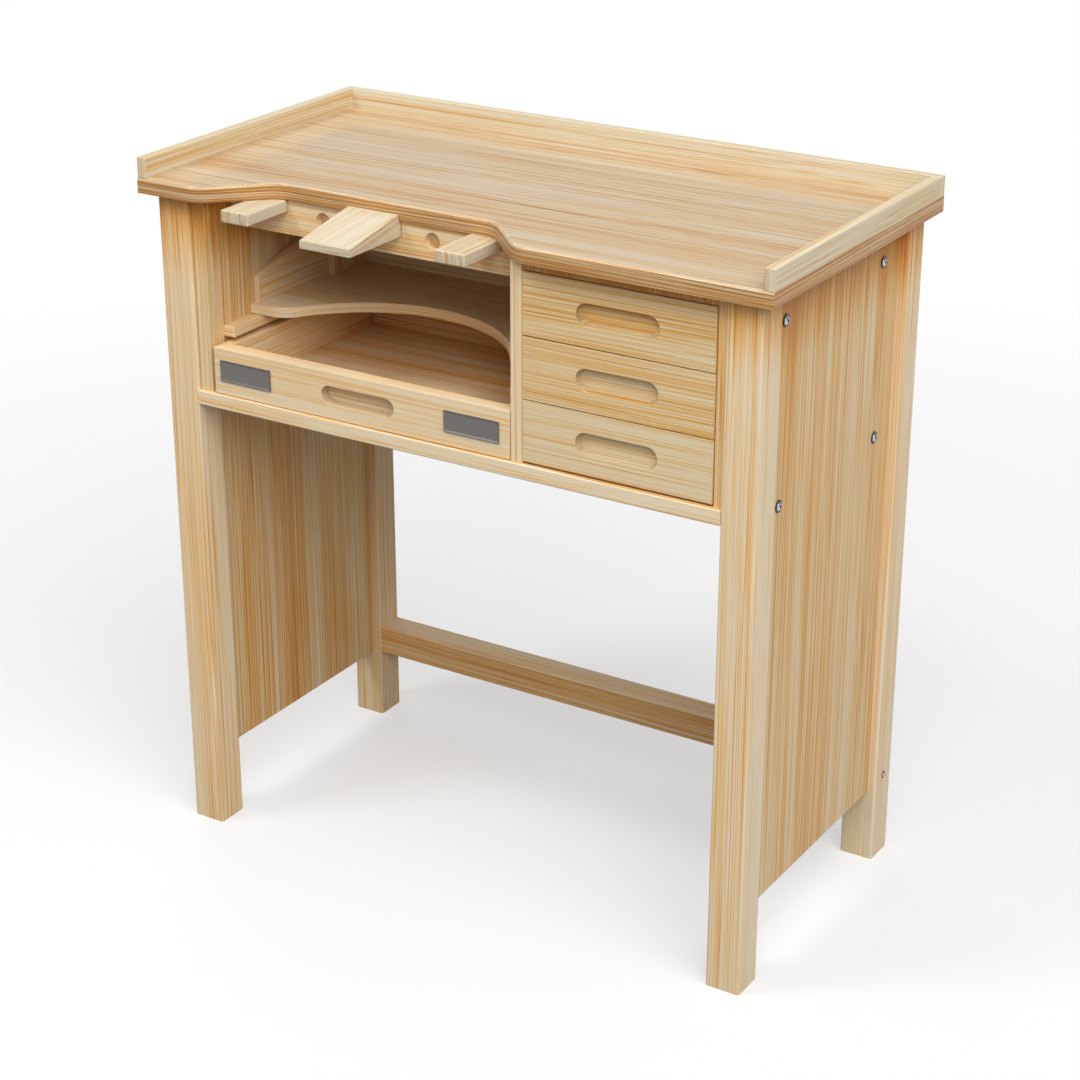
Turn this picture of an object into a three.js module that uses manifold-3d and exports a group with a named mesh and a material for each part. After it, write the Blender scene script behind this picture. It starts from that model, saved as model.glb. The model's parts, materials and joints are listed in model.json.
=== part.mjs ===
// A jeweller's workbench in pale lacquered softwood: a scooped table top with a gallery on three sides,
// four square legs with side panels, a hanging case with three drawers, a catch drawer and a sliding tray,
// and a bench pin between two pull-out arm rests. Millimetres, +Z up, the front faces -Y.
import * as THREE from 'three';
import { mergeVertices } from 'three/addons/utils/BufferGeometryUtils.js';
import Module from 'manifold-3d';

const wasm = await Module();
wasm.setup();

// Table top. Y is measured from its front edge until the whole bench is centred at the end.
const TOP_WIDTH = 900;
const TOP_DEPTH = 460.5;
const TOP_THICK = 20;
const WORK_HEIGHT = 921.5;
const ARRIS = 3; // rounded front arris
const SCOOP_CENTRE = -121;
const SCOOP_FLAT = 290; // straight back edge of the scoop
const SCOOP_DEPTH = 72.5;
const SCOOP_RADIUS = 40; // each curve of the scoop is an eighth of a turn
const RAIL_THICK = 13.5;
const RAIL_HEIGHT = 26;
const RAIL_SETBACK = 1.5; // of the side strips, from the table's front edge

// Legs, side panels and stretcher
const LEG = 47;
const SIDE_OVERHANG = 19;
const FRONT_OVERHANG = 15.5;
const BACK_OVERHANG = 10;
const PANEL_THICK = 22;
const PANEL_INSET = 11.5; // from the legs' outer faces
const PANEL_BOTTOM = 102;
const TONGUE_THICK = 10;
const TONGUE_LENGTH = 9.5;
const GLUE_GAP = 0.5;
const STRETCHER_FRONT = 405;
const STRETCHER_DEPTH = 44;
const STRETCHER_BOTTOM = 103.5;
const STRETCHER_HEIGHT = 42;
const TENON_LENGTH = 20;
const TENON_SHOULDER = 10; // wood left around the tenon on every side

// Case between the legs
const BOARD_FRONT = 16.5;
const BOARD_BOTTOM = 624;
const BOARD_THICK = 20;
const CASE_FRONT = 21.5;
const CASE_BACK = 436;
const BACK_PANEL_THICK = 10;
const LEFT_WALL = -362; // inner face of the left case side
const RIGHT_WALL = 371.5;
const DIVIDER_LEFT = 95;
const DIVIDER_THICK = 17;
const DIVIDER_FRONT = 21;
const DRAWER_FACE = 20; // front plane of all the drawers
const RUN_GAP = 0.5;

// Connecting bolts
const BOLT_RADIUS = 3;
const BOLT_LENGTH = 42;
const BORE_GAP = 0.5;
const WASHER_RADIUS = 8;
const BOLT_ROWS = { upper: 858.5, lower: 630 };
const BOLT_COLUMNS = { front: 94, back: 357.5 };

// Apron with its arm rests, bench pin and tool sockets
const APRON_FRONT = 77;
const APRON_THICK = 22;
const APRON_BOTTOM = 855.5;
const GUIDE_FRONT = 140;
const GUIDE_THICK = 18;
const GUIDE_BOTTOM = 866;
const ARM_WIDTH = 43;
const ARM_THICK = 16.5;
const ARM_LENGTH = 290;
const ARM_FRONT = -4.5;
const ARM_EDGE = 2.5; // rounded long edges
const ARM_CENTRES = { left: -293, right: 27 };
const SLIDE_GAP = 0.5;
const PIN_CENTRE = -136;
const PIN_WIDTH = 75;
const PIN_FRONT = -30;
const PIN_BOTTOM = 879.5;
const PIN_TIP = 11; // thickness at the front
const PIN_HEEL = 29.5; // thickness where it meets the table top
const PIN_TONGUE = 16.5;
const PIN_TONGUE_END = 139.5;
const MORTISE_SIDE_GAP = 1;
const SOCKET_CENTRES = [-217, -52];
const SOCKET_HEIGHT = 881;
const SOCKET_RADIUS = 10.75;
const SOCKET_DEPTH = 13;

// Sliding tray
const RUNNER_WIDTH = 18;
const RUNNER_HEIGHT = 14.5;
const RUNNER_TOP = 727.5;
const RUNNER_FRONT = 47.5;
const TRAY_FRONT = 105;
const TRAY_FLOOR_THICK = 14;
const TRAY_LENGTH = 243.5;
const ARCH_DEPTH = 109;
const ARCH_RADIUS = 192;
const ARCH_EASE = 40; // convex curve at each end of the arch
const CHEEK_THICK = 9.5;
const CHEEK_SETBACK = 8;
const CHEEK_FRONT_HEIGHT = 35;
const CHEEK_BACK_HEIGHT = 80;
const CHEEK_SLOPE_END = 165; // where the cheek reaches its full height
const TRAY_BACK_THICK = 12;
const BLOCK_THICK = 11.5;
const BLOCK_LENGTH = 72.5;
const BLOCK_HEIGHT = 73;

// Catch drawer
const CATCH_LEFT_GAP = 4.5;
const CATCH_HEIGHT = 62.5;
const CATCH_FRONT_THICK = 22;
const CATCH_WALL = 16.5;
const CATCH_BACK_THICK = 12;
const CATCH_LENGTH = 339;
const CATCH_FLOOR = 6;
const CATCH_PULL = { length: 111, height: 24.5, depth: 15 };

// The three drawers, by the height of each front's bottom edge
const DRAWERS = { lower: 647, middle: 727, upper: 807 };
const FRONT_HEIGHT = 79.4;
const FRONT_THICK = 18;
const FRONT_SIDE_GAP = 0.5;
const DRAWER_SIDE_GAP = 1.25;
const DRAWER_WALL = 10;
const DRAWER_LENGTH = 380;
const DRAWER_WALL_TOP = 70;
const DRAWER_FLOOR = 6;
const DRAWER_PULL = { length: 111, height: 28, depth: 8 };
const DUST_PANEL_THICK = 6;
const DUST_PANEL_FRONT = 40;
const TOP_RAIL_HEIGHT = 14.5;
const TOP_RAIL_THICK = 18;

// Places that several pieces share
const UNDERSIDE = WORK_HEIGHT - TOP_THICK;
const HALF_TOP = TOP_WIDTH / 2;
const LEG_OUTER = HALF_TOP - SIDE_OVERHANG;
const LEG_INNER = LEG_OUTER - LEG;
const FRONT_LEG_BACK = FRONT_OVERHANG + LEG;
const BACK_LEG_BACK = TOP_DEPTH - BACK_OVERHANG;
const BACK_LEG_FRONT = BACK_LEG_BACK - LEG;
const PANEL_OUTER = LEG_OUTER - PANEL_INSET;
const PANEL_INNER = PANEL_OUTER - PANEL_THICK;
const TONGUE_INNER = (PANEL_OUTER + PANEL_INNER - TONGUE_THICK) / 2;
const TONGUE_OUTER = TONGUE_INNER + TONGUE_THICK;
const BOARD_TOP = BOARD_BOTTOM + BOARD_THICK;
const DIVIDER_RIGHT = DIVIDER_LEFT + DIVIDER_THICK;
const BAY_CENTRE = (LEFT_WALL + DIVIDER_LEFT) / 2;
const BAY_HALF = (DIVIDER_LEFT - LEFT_WALL) / 2;
const DRAWER_BAY_CENTRE = (DIVIDER_RIGHT + RIGHT_WALL) / 2;
const DRAWER_BAY_HALF = (RIGHT_WALL - DIVIDER_RIGHT) / 2;
const ARM_TOP = UNDERSIDE - SLIDE_GAP;
const ARM_BOTTOM = ARM_TOP - ARM_THICK;
const SIDES = { left: -1, right: 1 };
const OVERCUT = 1; // how far a cutting shape runs past the face that it enters
const ARC_STEPS = 6;
const ROUND_SIDES = 16;

const X = new THREE.Vector3(1, 0, 0);
const Y = new THREE.Vector3(0, 1, 0);
const Z = new THREE.Vector3(0, 0, 1);
const EIGHTH_TURN = Math.PI / 4;
const QUARTER_TURN = Math.PI / 2;

// Materials and pieces. The arm rests and the bench pin are paler than the lacquered boards.
const LACQUERED_WOOD = 0xdcb988;
const BARE_WOOD = 0xe6cb9e;
const STEEL = 0xb9bcc0;
const wood = (color) => new THREE.MeshStandardMaterial({ color, roughness: 0.38, metalness: 0 });
const steel = () => new THREE.MeshStandardMaterial({ color: STEEL, roughness: 0.2, metalness: 1 });

function piece(parent, name, geometry, material = wood(LACQUERED_WOOD)) {
  const mesh = new THREE.Mesh(geometry, material);
  mesh.name = name;
  parent.add(mesh);
  return mesh;
}

// A square-edged block between two opposite corners
function block([xa, ya, za], [xb, yb, zb]) {
  const geometry = new THREE.BoxGeometry(Math.abs(xb - xa), Math.abs(yb - ya), Math.abs(zb - za));
  return geometry.translate((xa + xb) / 2, (ya + yb) / 2, (za + zb) / 2);
}

// An outline drawn in plan (x, y), from the front (x, z) or from the side (y, z), and carried along the
// third direction from start to end
const VIEWS = {
  plan: new THREE.Matrix4(),
  front: new THREE.Matrix4().makeBasis(X, Z, Y.clone().negate()),
  side: new THREE.Matrix4().makeBasis(Y, Z, X),
};

function prism(outline, view, start, end) {
  const geometry = new THREE.ExtrudeGeometry(outline, {
    depth: end - start,
    bevelEnabled: false,
    curveSegments: ARC_STEPS,
  });
  geometry.translate(0, 0, view === 'front' ? -end : start);
  return geometry.applyMatrix4(VIEWS[view]);
}

const polygon = (points) => new THREE.Shape(points.map(([u, v]) => new THREE.Vector2(u, v)));

function stadium(u, v, length, height) {
  const radius = height / 2;
  const reach = length / 2 - radius;
  const outline = new THREE.Shape();
  outline.absarc(u + reach, v, radius, -QUARTER_TURN, QUARTER_TURN, false);
  outline.absarc(u - reach, v, radius, QUARTER_TURN, 3 * QUARTER_TURN, false);
  return outline;
}

function roundedRectangle(u0, v0, u1, v1, radius) {
  const outline = new THREE.Shape();
  outline.absarc(u1 - radius, v0 + radius, radius, -QUARTER_TURN, 0, false);
  outline.absarc(u1 - radius, v1 - radius, radius, 0, QUARTER_TURN, false);
  outline.absarc(u0 + radius, v1 - radius, radius, QUARTER_TURN, 2 * QUARTER_TURN, false);
  outline.absarc(u0 + radius, v0 + radius, radius, 2 * QUARTER_TURN, 3 * QUARTER_TURN, false);
  return outline;
}

// A round bar along X or Y, used for bores and sockets
function bar(axis, radius, [x, y, z], length, sides) {
  const geometry = new THREE.CylinderGeometry(radius, radius, length, sides);
  if (axis === 'x') geometry.rotateZ(QUARTER_TURN);
  return geometry.translate(x, y, z);
}

// Boolean joins and cuts
function toSolid(geometry) {
  const bare = geometry.clone();
  bare.deleteAttribute('normal');
  bare.deleteAttribute('uv');
  const merged = mergeVertices(bare, 1e-4);
  return new wasm.Manifold(new wasm.Mesh({
    numProp: 3,
    vertProperties: new Float32Array(merged.attributes.position.array),
    triVerts: new Uint32Array(merged.index.array),
  }));
}

function toGeometry(solid) {
  const mesh = solid.getMesh();
  const geometry = new THREE.BufferGeometry();
  geometry.setAttribute('position', new THREE.BufferAttribute(mesh.vertProperties, 3));
  geometry.setIndex(new THREE.BufferAttribute(mesh.triVerts, 1));
  geometry.computeVertexNormals();
  return geometry;
}

const cut = (body, ...tools) =>
  toGeometry(tools.reduce((solid, tool) => solid.subtract(toSolid(tool)), toSolid(body)));
const join = (body, ...others) =>
  toGeometry(others.reduce((solid, other) => solid.add(toSolid(other)), toSolid(body)));
const common = (body, other) => toGeometry(toSolid(body).intersect(toSolid(other)));

const bench = new THREE.Group();

// Table top: one glued-up board whose front edge curves in to a scoop where the worker sits. The outline runs
// past the sides and back so that only the front arris is rounded, and is then trimmed to size.
function scoopedOutline(margin) {
  const ramp = SCOOP_DEPTH - 2 * SCOOP_RADIUS * (1 - Math.cos(EIGHTH_TURN));
  const run = ramp + 2 * SCOOP_RADIUS * Math.sin(EIGHTH_TURN);
  const flatLeft = SCOOP_CENTRE - SCOOP_FLAT / 2;
  const flatRight = SCOOP_CENTRE + SCOOP_FLAT / 2;
  const hollow = SCOOP_DEPTH - SCOOP_RADIUS;
  const outline = new THREE.Shape();
  outline.moveTo(-HALF_TOP - margin, 0);
  outline.lineTo(flatLeft - run, 0);
  outline.absarc(flatLeft - run, SCOOP_RADIUS, SCOOP_RADIUS, -QUARTER_TURN, -EIGHTH_TURN, false);
  outline.absarc(flatLeft, hollow, SCOOP_RADIUS, 3 * EIGHTH_TURN, QUARTER_TURN, true);
  outline.absarc(flatRight, hollow, SCOOP_RADIUS, QUARTER_TURN, EIGHTH_TURN, true);
  outline.absarc(flatRight + run, SCOOP_RADIUS, SCOOP_RADIUS, -3 * EIGHTH_TURN, -QUARTER_TURN, false);
  outline.lineTo(HALF_TOP + margin, 0);
  outline.lineTo(HALF_TOP + margin, TOP_DEPTH + margin);
  outline.lineTo(-HALF_TOP - margin, TOP_DEPTH + margin);
  return outline;
}

function tableTop() {
  const trim = 10;
  const slab = new THREE.ExtrudeGeometry(scoopedOutline(trim), {
    depth: TOP_THICK,
    bevelEnabled: true,
    bevelThickness: ARRIS,
    bevelSize: ARRIS,
    bevelOffset: -ARRIS,
    bevelSegments: 3,
    curveSegments: ARC_STEPS,
  });
  slab.translate(0, 0, UNDERSIDE - ARRIS);
  const size = block([-HALF_TOP, -trim, UNDERSIDE], [HALF_TOP, TOP_DEPTH, WORK_HEIGHT]);
  return common(slab, size);
}

piece(bench, 'table_top', tableTop());

// Gallery: three upright strips on the table's edges. The side strips butt on the back one.
const RAIL_TOP = WORK_HEIGHT + RAIL_HEIGHT;
const BACK_RAIL_FRONT = TOP_DEPTH - RAIL_THICK;
for (const [side, sign] of Object.entries(SIDES)) {
  const outer = [sign * HALF_TOP, RAIL_SETBACK, WORK_HEIGHT];
  const inner = [sign * (HALF_TOP - RAIL_THICK), BACK_RAIL_FRONT, RAIL_TOP];
  piece(bench, `${side}_gallery_rail`, block(outer, inner));
}
piece(bench, 'back_gallery_rail',
  block([-HALF_TOP, BACK_RAIL_FRONT, WORK_HEIGHT], [HALF_TOP, TOP_DEPTH, RAIL_TOP]));

// Legs: square posts, grooved for the side panels. The back pair is mortised for the stretcher.
const STRETCHER_TOP = STRETCHER_BOTTOM + STRETCHER_HEIGHT;
const STRETCHER_BACK = STRETCHER_FRONT + STRETCHER_DEPTH;
const TENON_FRONT = STRETCHER_FRONT + TENON_SHOULDER + GLUE_GAP;
const TENON_BACK = STRETCHER_BACK - TENON_SHOULDER + GLUE_GAP;
const TENON_LOW = STRETCHER_BOTTOM + TENON_SHOULDER;
const TENON_HIGH = STRETCHER_TOP - TENON_SHOULDER;

const tenon = (sign, gap) => block(
  [sign * (LEG_INNER - OVERCUT), TENON_FRONT - gap, TENON_LOW - gap],
  [sign * (LEG_INNER + TENON_LENGTH + gap), TENON_BACK + gap, TENON_HIGH + gap],
);

function panelGroove(sign, jointFace, inward) {
  return block(
    [sign * (TONGUE_INNER - GLUE_GAP), jointFace - inward * OVERCUT, PANEL_BOTTOM - GLUE_GAP],
    [sign * (TONGUE_OUTER + GLUE_GAP), jointFace + inward * (TONGUE_LENGTH + GLUE_GAP), UNDERSIDE + OVERCUT],
  );
}

for (const [side, sign] of Object.entries(SIDES)) {
  const post = (front, back) => block([sign * LEG_INNER, front, 0], [sign * LEG_OUTER, back, UNDERSIDE]);
  piece(bench, `front_${side}_leg`,
    cut(post(FRONT_OVERHANG, FRONT_LEG_BACK), panelGroove(sign, FRONT_LEG_BACK, -1)));
  piece(bench, `back_${side}_leg`,
    cut(post(BACK_LEG_FRONT, BACK_LEG_BACK), panelGroove(sign, BACK_LEG_FRONT, 1), tenon(sign, GLUE_GAP)));
}

// Stretcher: a stout rail low between the back legs, with a tenon at each end
piece(bench, 'back_stretcher', join(
  block([-LEG_INNER, STRETCHER_FRONT, STRETCHER_BOTTOM], [LEG_INNER, STRETCHER_BACK, STRETCHER_TOP]),
  tenon(SIDES.left, 0),
  tenon(SIDES.right, 0),
));

// Bores for the connecting bolts, on one side of the bench and in the given rows
function bores(sign, rows) {
  const length = 2 * BOLT_LENGTH;
  const middle = PANEL_OUTER - BOLT_LENGTH - BORE_GAP + length / 2;
  return rows.flatMap((row) => Object.values(BOLT_COLUMNS).map((y) =>
    bar('x', BOLT_RADIUS + BORE_GAP, [sign * middle, y, BOLT_ROWS[row]], length, ROUND_SIDES)));
}

// Side panels: wide boards tongued into the legs, from below the table top to just above the floor
for (const [side, sign] of Object.entries(SIDES)) {
  const front = FRONT_LEG_BACK;
  const back = BACK_LEG_FRONT;
  const outline = polygon([
    [PANEL_INNER, front], [TONGUE_INNER, front], [TONGUE_INNER, front - TONGUE_LENGTH],
    [TONGUE_OUTER, front - TONGUE_LENGTH], [TONGUE_OUTER, front], [PANEL_OUTER, front],
    [PANEL_OUTER, back], [TONGUE_OUTER, back], [TONGUE_OUTER, back + TONGUE_LENGTH],
    [TONGUE_INNER, back + TONGUE_LENGTH], [TONGUE_INNER, back], [PANEL_INNER, back],
  ].map(([x, y]) => [sign * x, y]));
  piece(bench, `${side}_side_panel`,
    cut(prism(outline, 'plan', PANEL_BOTTOM, UNDERSIDE), ...bores(sign, ['upper', 'lower'])));
}

// Bottom board: the floor of the case, notched round the four legs so that its ends meet the side panels
const notchedBoard = polygon([
  [-LEG_INNER, BOARD_FRONT], [LEG_INNER, BOARD_FRONT], [LEG_INNER, FRONT_LEG_BACK],
  [PANEL_INNER, FRONT_LEG_BACK], [PANEL_INNER, BACK_LEG_FRONT], [LEG_INNER, BACK_LEG_FRONT],
  [LEG_INNER, CASE_BACK], [-LEG_INNER, CASE_BACK], [-LEG_INNER, BACK_LEG_FRONT],
  [-PANEL_INNER, BACK_LEG_FRONT], [-PANEL_INNER, FRONT_LEG_BACK], [-LEG_INNER, FRONT_LEG_BACK],
]);
piece(bench, 'bottom_board', cut(
  prism(notchedBoard, 'plan', BOARD_BOTTOM, BOARD_TOP),
  ...bores(SIDES.left, ['lower']),
  ...bores(SIDES.right, ['lower']),
));

// Case sides: upright boards rebated front and back to sit between the legs, against the side panels
function caseSide(sign, wall) {
  const outline = polygon([
    [sign * LEG_INNER, CASE_FRONT], [wall, CASE_FRONT], [wall, CASE_BACK], [sign * LEG_INNER, CASE_BACK],
    [sign * LEG_INNER, BACK_LEG_FRONT], [sign * PANEL_INNER, BACK_LEG_FRONT],
    [sign * PANEL_INNER, FRONT_LEG_BACK], [sign * LEG_INNER, FRONT_LEG_BACK],
  ]);
  return cut(prism(outline, 'plan', BOARD_TOP, UNDERSIDE), ...bores(sign, ['upper']));
}

piece(bench, 'left_case_side', caseSide(SIDES.left, LEFT_WALL));
piece(bench, 'right_case_side', caseSide(SIDES.right, RIGHT_WALL));

// Divider between the tray's bay and the drawers, and the thin back of the case
piece(bench, 'bay_divider',
  block([DIVIDER_LEFT, DIVIDER_FRONT, BOARD_TOP], [DIVIDER_RIGHT, CASE_BACK, UNDERSIDE]));
piece(bench, 'back_panel',
  block([-LEG_INNER, CASE_BACK, BOARD_BOTTOM], [LEG_INNER, CASE_BACK + BACK_PANEL_THICK, UNDERSIDE]));

// Connecting bolts: a washer and a low domed head with a socket, on a plain shank, turned about X
function bolt() {
  const headTop = 3.3;
  const headFlat = 3.5; // radius of the flat on top of the dome
  const headRadius = 5.3;
  const headEdge = 2;
  const socketRadius = 2.3;
  const socketFloor = 1.5;
  const washerTop = 1.4;
  const washerEdge = 0.5;
  const seatGap = 0.25;
  const profile = [
    [0, socketFloor], [socketRadius, socketFloor], [socketRadius, headTop], [headFlat, headTop],
    [headRadius, headEdge], [headRadius, washerTop], [WASHER_RADIUS - washerEdge, washerTop],
    [WASHER_RADIUS, washerTop - washerEdge], [WASHER_RADIUS, seatGap], [BOLT_RADIUS, seatGap],
    [BOLT_RADIUS, -BOLT_LENGTH], [0, -BOLT_LENGTH],
  ];
  const points = profile.reverse().map(([radius, along]) => new THREE.Vector2(radius, along));
  return new THREE.LatheGeometry(points, ROUND_SIDES).rotateZ(-QUARTER_TURN);
}

for (const [side, sign] of Object.entries(SIDES)) {
  for (const [row, z] of Object.entries(BOLT_ROWS)) {
    for (const [column, y] of Object.entries(BOLT_COLUMNS)) {
      const mesh = piece(bench, `${side}_${row}_${column}_bolt`, bolt(), steel());
      mesh.position.set(sign * PANEL_OUTER, y, z);
      mesh.rotation.z = sign < 0 ? Math.PI : 0;
    }
  }
}

// Apron under the scoop and the guide board behind it, both notched from above for the arm rests. The apron
// has a mortise for the bench pin and two blind sockets for tools.
function notchedOutline(bottom) {
  const reach = ARM_WIDTH / 2 + SLIDE_GAP;
  const floor = ARM_BOTTOM - SLIDE_GAP;
  const notches = [ARM_CENTRES.right, ARM_CENTRES.left].flatMap((x) => [
    [x + reach, UNDERSIDE], [x + reach, floor], [x - reach, floor], [x - reach, UNDERSIDE],
  ]);
  return polygon([
    [LEFT_WALL, bottom], [DIVIDER_LEFT, bottom],
    [DIVIDER_LEFT, UNDERSIDE], ...notches, [LEFT_WALL, UNDERSIDE],
  ]);
}

const APRON_BACK = APRON_FRONT + APRON_THICK;
const GUIDE_BACK = GUIDE_FRONT + GUIDE_THICK;
const mortiseReach = PIN_WIDTH / 2 + MORTISE_SIDE_GAP;
const mortise = block(
  [PIN_CENTRE - mortiseReach, APRON_FRONT - OVERCUT, PIN_BOTTOM - SLIDE_GAP],
  [PIN_CENTRE + mortiseReach, APRON_BACK + OVERCUT, PIN_BOTTOM + PIN_TONGUE + SLIDE_GAP],
);
const sockets = SOCKET_CENTRES.map((x) =>
  bar('y', SOCKET_RADIUS, [x, APRON_FRONT, SOCKET_HEIGHT], 2 * SOCKET_DEPTH, 2 * ROUND_SIDES));
piece(bench, 'front_apron',
  cut(prism(notchedOutline(APRON_BOTTOM), 'front', APRON_FRONT, APRON_BACK), mortise, ...sockets));
piece(bench, 'arm_guide', prism(notchedOutline(GUIDE_BOTTOM), 'front', GUIDE_FRONT, GUIDE_BACK));

// Arm rests: two rounded bars that slide out through the apron
for (const [side, x] of Object.entries(ARM_CENTRES)) {
  const section = roundedRectangle(-ARM_WIDTH / 2, 0, ARM_WIDTH / 2, ARM_THICK, ARM_EDGE);
  const arm = piece(bench, `${side}_arm_rest`, prism(section, 'front', 0, ARM_LENGTH), wood(BARE_WOOD));
  arm.position.set(x, ARM_FRONT, ARM_BOTTOM);
}

// Bench pin: a wedge that butts on the table's edge, on a tongue that plugs into the apron
const heelBack = SCOOP_DEPTH - SLIDE_GAP;
const shoulder = APRON_FRONT - SLIDE_GAP;
const shoulderHeight = ARM_TOP - PIN_BOTTOM;
const pinProfile = polygon([
  [PIN_FRONT, 0], [PIN_TONGUE_END, 0], [PIN_TONGUE_END, PIN_TONGUE], [shoulder, PIN_TONGUE],
  [shoulder, shoulderHeight], [heelBack, shoulderHeight], [heelBack, PIN_HEEL], [PIN_FRONT, PIN_TIP],
]);
const wedge = prism(pinProfile, 'side', -PIN_WIDTH / 2, PIN_WIDTH / 2);
piece(bench, 'bench_pin', wedge, wood(BARE_WOOD)).position.set(PIN_CENTRE, 0, PIN_BOTTOM);

// Rail over the drawers and the dust panels that the upper two drawers run on
piece(bench, 'drawer_top_rail', block(
  [DIVIDER_RIGHT, CASE_FRONT, UNDERSIDE - TOP_RAIL_HEIGHT],
  [RIGHT_WALL, CASE_FRONT + TOP_RAIL_THICK, UNDERSIDE],
));
for (const [name, above] of [['lower', DRAWERS.middle], ['upper', DRAWERS.upper]]) {
  const top = above - RUN_GAP;
  piece(bench, `${name}_dust_panel`,
    block([DIVIDER_RIGHT, DUST_PANEL_FRONT, top - DUST_PANEL_THICK], [RIGHT_WALL, CASE_BACK, top]));
}

// Runners for the tray, one on each wall of the bay
const RUNNER_WALLS = { left: LEFT_WALL, right: DIVIDER_LEFT };
for (const [side, sign] of Object.entries(SIDES)) {
  const wall = RUNNER_WALLS[side];
  piece(bench, `${side}_tray_runner`, block(
    [wall, RUNNER_FRONT, RUNNER_TOP - RUNNER_HEIGHT], [wall - sign * RUNNER_WIDTH, CASE_BACK, RUNNER_TOP]));
}

// Sliding tray: an arched floor on the runners, with sloping cheeks, a back and corner blocks. Its own
// origin is at the middle of its front edge, under the floor.
const tray = new THREE.Group();
tray.position.set(BAY_CENTRE, TRAY_FRONT, RUNNER_TOP + SLIDE_GAP);
bench.add(tray);
const TRAY_HALF = BAY_HALF - RUN_GAP;

function archedFloor() {
  const archCentre = ARCH_DEPTH - ARCH_RADIUS;
  const rise = ARCH_EASE - archCentre;
  const reach = Math.sqrt((ARCH_RADIUS + ARCH_EASE) ** 2 - rise ** 2);
  const spring = Math.atan2(rise, reach);
  const outline = new THREE.Shape();
  outline.moveTo(-TRAY_HALF, 0);
  outline.lineTo(-reach, 0);
  outline.absarc(-reach, ARCH_EASE, ARCH_EASE, -QUARTER_TURN, -spring, false);
  outline.absarc(0, archCentre, ARCH_RADIUS, Math.PI - spring, spring, true);
  outline.absarc(reach, ARCH_EASE, ARCH_EASE, Math.PI + spring, 3 * QUARTER_TURN, false);
  outline.lineTo(TRAY_HALF, 0);
  outline.lineTo(TRAY_HALF, TRAY_LENGTH);
  outline.lineTo(-TRAY_HALF, TRAY_LENGTH);
  return prism(outline, 'plan', 0, TRAY_FLOOR_THICK);
}

piece(tray, 'tray_floor', archedFloor());
const trayBackFront = TRAY_LENGTH - TRAY_BACK_THICK;
const trayWallTop = TRAY_FLOOR_THICK + CHEEK_BACK_HEIGHT;
piece(tray, 'tray_back',
  block([-TRAY_HALF, trayBackFront, TRAY_FLOOR_THICK], [TRAY_HALF, TRAY_LENGTH, trayWallTop]));
const cheek = polygon([
  [CHEEK_SETBACK, TRAY_FLOOR_THICK], [trayBackFront, TRAY_FLOOR_THICK], [trayBackFront, trayWallTop],
  [CHEEK_SLOPE_END, trayWallTop], [CHEEK_SETBACK, TRAY_FLOOR_THICK + CHEEK_FRONT_HEIGHT],
]);
for (const [side, sign] of Object.entries(SIDES)) {
  const outer = sign * TRAY_HALF;
  const inner = outer - sign * CHEEK_THICK;
  piece(tray, `tray_${side}_cheek`, prism(cheek, 'side', Math.min(outer, inner), Math.max(outer, inner)));
  piece(tray, `tray_${side}_block`, block(
    [inner, trayBackFront - BLOCK_LENGTH, TRAY_FLOOR_THICK],
    [inner - sign * BLOCK_THICK, trayBackFront, TRAY_FLOOR_THICK + BLOCK_HEIGHT],
  ));
}

// A finger pull is a round-ended pocket in the middle of a drawer front
function pulledFront(half, height, thick, pull) {
  const pocket = prism(stadium(0, height / 2, pull.length, pull.height), 'front', -OVERCUT, pull.depth);
  return cut(block([-half, 0, 0], [half, thick, height]), pocket);
}

// The box behind a drawer front: two sides, a back between them and a bottom let in flush
function drawerBox(parent, name, { half, front, length, wall, backThick, low, high, floor }) {
  const inner = half - wall;
  for (const [side, sign] of Object.entries(SIDES)) {
    piece(parent, `${name}_${side}_side`, block([sign * half, front, low], [sign * inner, length, high]));
  }
  piece(parent, `${name}_back`, block([-inner, length - backThick, low], [inner, length, high]));
  piece(parent, `${name}_bottom`, block([-inner, front, low], [inner, length - backThick, low + floor]));
}

// Catch drawer: a wide shallow box on the bottom board, under the tray
const catchLeft = LEFT_WALL + CATCH_LEFT_GAP;
const catchRight = DIVIDER_LEFT - RUN_GAP;
const catchHalf = (catchRight - catchLeft) / 2;
const catchDrawer = new THREE.Group();
catchDrawer.position.set((catchLeft + catchRight) / 2, DRAWER_FACE, BOARD_TOP + RUN_GAP);
bench.add(catchDrawer);
piece(catchDrawer, 'catch_drawer_front',
  pulledFront(catchHalf, CATCH_HEIGHT, CATCH_FRONT_THICK, CATCH_PULL));
drawerBox(catchDrawer, 'catch_drawer', {
  half: catchHalf,
  front: CATCH_FRONT_THICK,
  length: CATCH_LENGTH,
  wall: CATCH_WALL,
  backThick: CATCH_BACK_THICK,
  low: 0,
  high: CATCH_HEIGHT,
  floor: CATCH_FLOOR,
});

// The three drawers on the right. The lowest runs on the bottom board, the others on the dust panels.
for (const [name, bottom] of Object.entries(DRAWERS)) {
  const drawer = new THREE.Group();
  drawer.position.set(DRAWER_BAY_CENTRE, DRAWER_FACE, bottom);
  bench.add(drawer);
  const runway = name === 'lower' ? BOARD_TOP : bottom - RUN_GAP;
  piece(drawer, `${name}_drawer_front`,
    pulledFront(DRAWER_BAY_HALF - FRONT_SIDE_GAP, FRONT_HEIGHT, FRONT_THICK, DRAWER_PULL));
  drawerBox(drawer, `${name}_drawer`, {
    half: DRAWER_BAY_HALF - DRAWER_SIDE_GAP,
    front: FRONT_THICK,
    length: DRAWER_LENGTH,
    wall: DRAWER_WALL,
    backThick: DRAWER_WALL,
    low: runway + RUN_GAP - bottom,
    high: DRAWER_WALL_TOP,
    floor: DRAWER_FLOOR,
  });
}

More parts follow.
